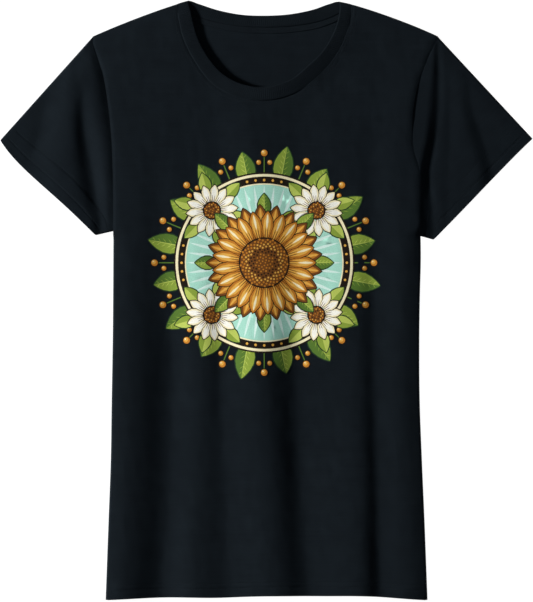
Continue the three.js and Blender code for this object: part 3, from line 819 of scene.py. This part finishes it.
def linear(code):
    """A hex colour as linear light."""
    values = [int(code[k : k + 2], 16) / 255 for k in (1, 3, 5)]
    return [v / 12.92 if v <= 0.04045 else ((v + 0.055) / 1.055) ** 2.4 for v in values]


def petal(length, width, point=1.3, steps=7):
    """A pointed petal or leaf along +X from the origin."""
    t = (1 - np.cos(np.linspace(0, pi, steps))) / 2
    half = width / 2 * np.sin(pi * t**point) ** 0.85
    upper = np.stack([length * t, half], 1)
    return np.vstack([upper, upper[-2:0:-1] * [1, -1]])[::-1]


def disc(radius, sides=24):
    a = np.linspace(0, 2 * pi, sides, endpoint=False)
    return radius * np.stack([np.cos(a), np.sin(a)], 1)


def inked(ink, shape, centre=(0, 0), angle=0.0, reach=0.0):
    """A shape in an ink, moved out along +X, turned, and set at a centre."""
    c, s = cos(angle), sin(angle)
    x, y = shape[:, 0] + reach, shape[:, 1]
    return ink, np.stack([c * x - s * y + centre[0], s * x + c * y + centre[1]], 1)


def leaf(angle, reach, length, width, centre=(0, 0), light="olive", dark="green"):
    """A leaf with a dark outline, a lighter lower half, a midrib and five pairs of veins."""
    whole = petal(length, width, 1.0, 10)
    parts = [
        inked("forest", petal(length + 2.2, width + 2.6, 1.0, 10), centre, angle, reach - 1),
        inked(dark, whole, centre, angle, reach),
        inked(light, whole[8:], centre, angle, reach),
        inked("lime", petal(length * 0.96, 1.1, 0.8, 4), centre, angle, reach),
    ]
    for k in range(1, 6):
        at = polar(reach + length * (0.12 + 0.14 * k), angle, centre)
        vein = petal(width * (0.44 - 0.035 * k), 0.8, 0.8, 3)
        parts += [inked("lime", vein, at, angle + 0.75), inked("olive", vein, at, angle - 0.75)]
    return parts


def berry(at, radius):
    """A round berry with a dark outline, lit from the upper left."""
    return [
        inked("night", disc(radius + 0.9, 14), at),
        inked("amber", disc(radius, 14), at),
        inked("gold", disc(radius * 0.66, 10), (at[0] - radius * 0.2, at[1] + radius * 0.2)),
        inked("cream", disc(radius * 0.24, 6), (at[0] - radius * 0.38, at[1] + radius * 0.4)),
    ]


def bloom(centre, petals, root, tip, width, inks, turn=0.0):
    """A round of petals with dark outlines, light middles and veins at their roots."""
    rim, body, light = inks
    length = tip - root
    vein = petal(length * 0.5, width * 0.09, 0.8, 4)
    layers = [
        ("night", petal(length + 1.4, width + 1.7), 0, root - 0.2),
        (rim, petal(length, width), 0, root),
        (body, petal(length * 0.88, width * 0.62), 0, root + length * 0.05),
        (light, petal(length * 0.5, width * 0.2, 1.1, 5), 0, root + length * 0.42),
        ("brown", vein, 2.1 / tip, root),
        ("brown", vein, -2.1 / tip, root),
    ]
    parts = []
    for k in range(petals):
        angle = turn + 2 * pi * k / petals
        parts += [inked(ink, shape, centre, angle + swing, reach) for ink, shape, swing, reach in layers]
    return parts


def seeds(centre, radius, count, size):
    """A seed head, each seed a golden angle on from the last."""
    parts = [inked("night", disc(radius + 1.6, 40), centre), inked("brown", disc(radius, 40), centre)]
    for k in range(count):
        share = sqrt((k + 0.5) / count)
        ink = next(ink for start, ink in SEED_BANDS if share > start)
        seed = disc(size * (0.75 + 0.4 * share), 5)
        parts.append(inked(ink, seed, polar(radius * share, k * GOLDEN_ANGLE, centre)))
    return parts


def medallion():
    """Leaves and berries round a mint disc, four daisies, and a sunflower in the middle."""
    art = []
    for k in range(16):
        art += leaf(pi / 8 * (k + 0.5), 84, 44 if k % 2 else 38, 21)
    for k in range(16):
        angle = pi / 8 * k
        art.append(inked("green", petal(34, 1.6, 0.8, 4), (0, 0), angle, 88))
        art += berry(polar(119, angle), 3.6)
        art += berry(polar(109, angle + 0.055), 2.6) + berry(polar(109, angle - 0.055), 2.6)
    rims = (("night", 98), ("cream", 96.2), ("night", 93.4))
    art += [inked(ink, disc(radius, ROUND)) for ink, radius in rims]
    art += [inked("gold", disc(1.5, 6), polar(89.6, 2 * pi * k / 60)) for k in range(60)]
    art += [inked("cream", disc(86, ROUND)), inked("mint", disc(84.6, ROUND))]
    art += [inked("pale", petal(34, 3.2, 0.9, 5), (0, 0), 2 * pi * k / 48, 50) for k in range(48)]
    for k in range(4):
        angle = pi / 4 + pi / 2 * k
        at = polar(80, angle)
        for j in range(6):
            art += leaf(angle + pi * (j - 2.5) / 3, 16, 26, 13, at, "lime", "olive")
        art += bloom(at, 14, 7, 28, 9.4, ("cream", "white", "white"), angle)
        art += seeds(at, 8.4, 34, 0.8)
    for k in range(8):
        art += leaf(pi / 4 * k, 48, 27, 14)
    art += bloom((0, 0), 21, 22, 63, 15.5, ("brown", "amber", "gold"), pi / 21)
    art += bloom((0, 0), 21, 22, 56, 13.5, ("amber", "gold", "cream"))
    return art + seeds((0, 0), 26, 190, 1.15)


def print_piece():
    """The print as one layer of ink that follows the cloth, cut so that only what shows is left."""
    art = medallion()
    points, loops = [], []
    for _, shape in art:
        loops.append(list(range(len(points), len(points) + len(shape))))
        points += (shape + PRINT_CENTRE).tolist()
    across = np.arange(-INK_REACH, INK_REACH, INK_STEP)
    fill = np.stack(np.meshgrid(across, across), -1).reshape(-1, 2)
    points += (fill[np.hypot(*fill.T) < INK_FILL] + PRINT_CENTRE).tolist()
    plan, kept = cut_plan(points, loops, 1e-3)
    z = front_z(*plan.T) + INK_HEIGHT
    piece = add_mesh("flower_print", np.column_stack([plan, z]), [face for face, _ in kept], plan)
    colours = piece.data.color_attributes.new(name="ink", type="FLOAT_COLOR", domain="CORNER")
    palette = {ink: (*linear(code), 1.0) for ink, code in INKS.items()}
    per_corner = [palette[art[top][0]] for face, top in kept for _ in face]
    colours.data.foreach_set("color", np.array(per_corner, np.float32).ravel())
    return piece


flower_print = print_piece()


# ---- materials
JERSEY_LOOPS = (0.00085, 0.00062)  # width of a loop and height of a row, in metres
RIB_LOOPS = (0.00105, 0.00062)
TAPE_LOOPS = (0.0006, 0.0006)


class Nodes:
    """A material's node tree, built by name."""

    def __init__(self, name):
        self.material = bpy.data.materials.new(name)
        self.material.use_nodes = True
        self.tree = self.material.node_tree
        self.tree.nodes.clear()

    def add(self, kind, inputs=None, **settings):
        node = self.tree.nodes.new("ShaderNode" + kind)
        for key, value in settings.items():
            setattr(node, key, value)
        for key, value in (inputs or {}).items():
            if isinstance(value, bpy.types.NodeSocket):
                self.tree.links.new(value, node.inputs[key])
            else:
                node.inputs[key].default_value = value
        return node

    def math(self, operation, a, b=0.0):
        return self.add("Math", {0: a, 1: b}, operation=operation).outputs[0]

    def total(self, *terms):
        """The sum of values, each times its weight."""
        total, *others = [self.math("MULTIPLY", value, weight) for value, weight in terms]
        for other in others:
            total = self.math("ADD", total, other)
        return total

    def cloth_map(self):
        """The cloth map, and its two directions: across the cloth and up it."""
        coordinates = self.add("UVMap", uv_map="cloth").outputs["UV"]
        parts = self.add("SeparateXYZ", {"Vector": coordinates})
        return coordinates, parts.outputs["X"], parts.outputs["Y"]

    def noise(self, vector, scale, detail, roughness=0.5):
        inputs = {"Vector": vector, "Scale": scale, "Detail": detail, "Roughness": roughness}
        return self.add("TexNoise", inputs).outputs["Fac"]

    def ramp(self, amount, low, high, start=0.0, end=1.0):
        """A blend of two colours, and the amounts where it starts and ends."""
        node = self.add("ValToRGB", {"Fac": amount})
        for stop, position, colour in zip(node.color_ramp.elements, (start, end), (low, high)):
            stop.position, stop.color = position, (*colour, 1)
        return node.outputs["Color"]

    def loops(self, across, upward, wale, course):
        """Height of V-shaped loops: each leans up from the middle of its column."""
        do = self.math
        column = do("SUBTRACT", do("FRACT", do("DIVIDE", across, wale)), 0.5)
        lean = do("MULTIPLY", do("ABSOLUTE", column), 1.3)
        row = do("ADD", do("DIVIDE", upward, course), lean)
        leg = do("ABSOLUTE", do("SINE", do("MULTIPLY", row, pi)))
        return do("MULTIPLY", leg, do("POWER", do("COSINE", do("MULTIPLY", column, pi)), 0.6))

    def bump(self, height, distance):
        return self.add("Bump", {"Height": height, "Distance": distance}).outputs["Normal"]

    def finish(self, inputs):
        shader = self.add("BsdfPrincipled", inputs)
        self.add("OutputMaterial", {"Surface": shader.outputs[0]})
        return self.material


def knit(name, dark, light, size, relief=0.00012, rough=0.95):
    """Black knitted cotton: loops, faint uneven rows and a slightly faded, soft face."""
    n = Nodes(name)
    coordinates, across, upward = n.cloth_map()
    rows = n.add("Mapping", {"Vector": coordinates, "Scale": (14.0, 620.0, 1.0)}).outputs[0]
    slubs = n.noise(rows, 1.0, 3.0, 0.6)
    worn = n.noise(coordinates, 60.0, 4.0)
    fuzz = n.noise(coordinates, 2600.0, 2.0)
    height = n.math("ADD", n.loops(across, upward, *size), n.math("MULTIPLY", fuzz, 0.5))
    return n.finish({
        "Base Color": n.ramp(n.total((slubs, 0.5), (worn, 0.55), (fuzz, 0.2)), dark, light, 0.475, 0.775),
        "Roughness": n.math("ADD", n.math("MULTIPLY", worn, 0.14), rough - 0.07),
        "Normal": n.bump(height, relief), "Specular IOR Level": 0.04,
    })


def thread():
    """Black polyester thread: a fine twist along each stitch."""
    n = Nodes("thread")
    twist = n.noise(n.add("TexCoord").outputs["Object"], 3200.0, 1.0)
    return n.finish({
        "Base Color": n.ramp(twist, (0.0044, 0.0068, 0.0092), (0.0078, 0.0112, 0.0146)),
        "Roughness": 0.75, "Normal": n.bump(twist, 0.00008), "Specular IOR Level": 0.1,
    })


def ink():
    """Soft screen ink: its colours, a little uneven, with the knit showing through."""
    n = Nodes("ink")
    coordinates, across, upward = n.cloth_map()
    paint = n.add("Attribute", attribute_name="ink").outputs["Color"]
    cover = n.noise(coordinates, 900.0, 3.0)
    shade = n.ramp(cover, (0.82, 0.82, 0.82), (1, 1, 1), 0.25, 0.6)
    mixed = n.add("MixRGB", {"Fac": 1.0, "Color1": paint, "Color2": shade}, blend_type="MULTIPLY")
    height = n.math("ADD", n.loops(across, upward, *JERSEY_LOOPS), cover)
    return n.finish({
        "Base Color": mixed.outputs[0], "Roughness": n.math("ADD", n.math("MULTIPLY", cover, 0.2), 0.62),
        "Normal": n.bump(height, 0.00005), "Specular IOR Level": 0.08,
    })


def flat_white():
    """The studio surface, lit from itself so that shadows on it stay faint."""
    n = Nodes("studio_white")
    grain = n.add("TexNoise", {"Scale": 60.0}).outputs["Fac"]
    return n.finish({
        "Base Color": n.ramp(grain, (0.10, 0.10, 0.10), (0.12, 0.12, 0.12)),
        "Roughness": 0.9, "Specular IOR Level": 0.0,
        "Emission Color": (1, 1, 1, 1), "Emission Strength": 1.0,
    })


jersey_cloth = knit("black_jersey", (0.0056, 0.0082, 0.0108), (0.0079, 0.0114, 0.0147), JERSEY_LOOPS)
rib_cloth = knit("black_rib", (0.0048, 0.0070, 0.0092), (0.0069, 0.0099, 0.0127), RIB_LOOPS, relief=0.0001)
tape_cloth = knit("black_tape", (0.0050, 0.0075, 0.0100), (0.0068, 0.0100, 0.0130), TAPE_LOOPS, rough=0.8)
thread_material, ink_material = thread(), ink()

CLOTHS = [
    (jersey_cloth, "jersey", [front, back, right_sleeve, left_sleeve]),
    (rib_cloth, "rib", [band]),
    (tape_cloth, "tape", [tape]),
]
for cloth, slot, pieces in CLOTHS:
    for piece in pieces:
        piece.data.materials.append(cloth)
for piece in (hem_thread, right_cuff_thread, left_cuff_thread, neck_thread):
    piece.data.materials.append(thread_material)
flower_print.data.materials.append(ink_material)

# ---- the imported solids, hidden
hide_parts("front_panel")
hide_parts("back_panel")
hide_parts("right_sleeve")
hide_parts("left_sleeve")
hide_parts("neckband")
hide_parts("neck_tape")


# ---- floor, lights, camera
PHOTO_HEIGHT, PIXEL = 602, 1.085 * MM  # in pixels, and what one of them covers
CAMERA_DISTANCE, CAMERA_PLANE, CAMERA_Y = 8.0, 0.006, -0.0005
SENSOR = 36.0  # in millimetres
FLOOR_HALF, FLOOR_Z = 40.0, -0.0006


def floor():
    mesh = bpy.data.meshes.new("floor")
    corners = [(x * FLOOR_HALF, y * FLOOR_HALF, FLOOR_Z) for x, y in ((-1, -1), (1, -1), (1, 1), (-1, 1))]
    mesh.from_pydata(corners, [], [(0, 1, 2, 3)])
    mesh.materials.append(flat_white())
    place("floor", mesh)


def lamp(name, azimuth, elevation, distance, size, power):
    """A soft light that faces the shirt. Azimuth 0 is towards +X, 90 towards +Y."""
    data = bpy.data.lights.new(name, "AREA")
    data.size, data.energy = size, power
    made = place(name, data)
    up = radians(elevation)
    made.location = (*polar(distance * cos(up), radians(azimuth)), distance * sin(up))
    made.rotation_euler = (-made.location).to_track_quat("-Z", "Y").to_euler()


floor()
lamp("key", azimuth=170, elevation=22, distance=6.0, size=0.8, power=725)
lamp("fill", azimuth=60, elevation=70, distance=3.0, size=2.5, power=4)

scene = bpy.context.scene
scene.world = bpy.data.worlds.new("studio")
scene.world.use_nodes = True
background = scene.world.node_tree.nodes["Background"]
background.inputs["Color"].default_value = (0.7, 0.85, 1.0, 1)
background.inputs["Strength"].default_value = 0.09
scene.view_settings.view_transform = "Standard"

# Straight above the shirt, with the photograph's frame.
lens = bpy.data.cameras.new("camera")
lens.sensor_fit = "VERTICAL"
lens.sensor_width = lens.sensor_height = SENSOR
lens.lens = SENSOR * CAMERA_DISTANCE / (PHOTO_HEIGHT * PIXEL)
scene.camera = place("camera", lens)
scene.camera.location = (0, CAMERA_Y, CAMERA_PLANE + CAMERA_DISTANCE)
